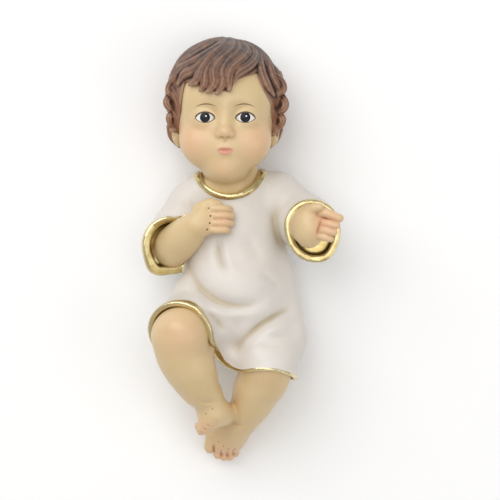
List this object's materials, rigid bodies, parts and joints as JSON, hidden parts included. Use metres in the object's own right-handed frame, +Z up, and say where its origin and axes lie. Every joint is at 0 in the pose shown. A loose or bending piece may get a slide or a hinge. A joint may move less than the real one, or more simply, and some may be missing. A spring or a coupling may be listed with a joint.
{
  "type": "baby jesus figurine",
  "caption": "Painted nativity infant lying on its back in a short gown with gold edging, one knee raised, one hand on the chest and the other held out.",
  "frame": {"origin": "on the resting plane, below the middle of the figure's bounding box", "axes": "+Y from the feet to the crown of the head, +Z up out of the resting plane to the figure's front, +X to the side of its left hand"},
  "size_m": [0.0936, 0.1998, 0.0638],
  "materials": {
    "painted_resin": "satin paint on cast polyresin: off-white gown with gold edging, pale flesh and grey-brown to copper hair"
  },
  "bodies": {
    "root": {"figurine": "painted_resin"}
  },
  "joints": []
}
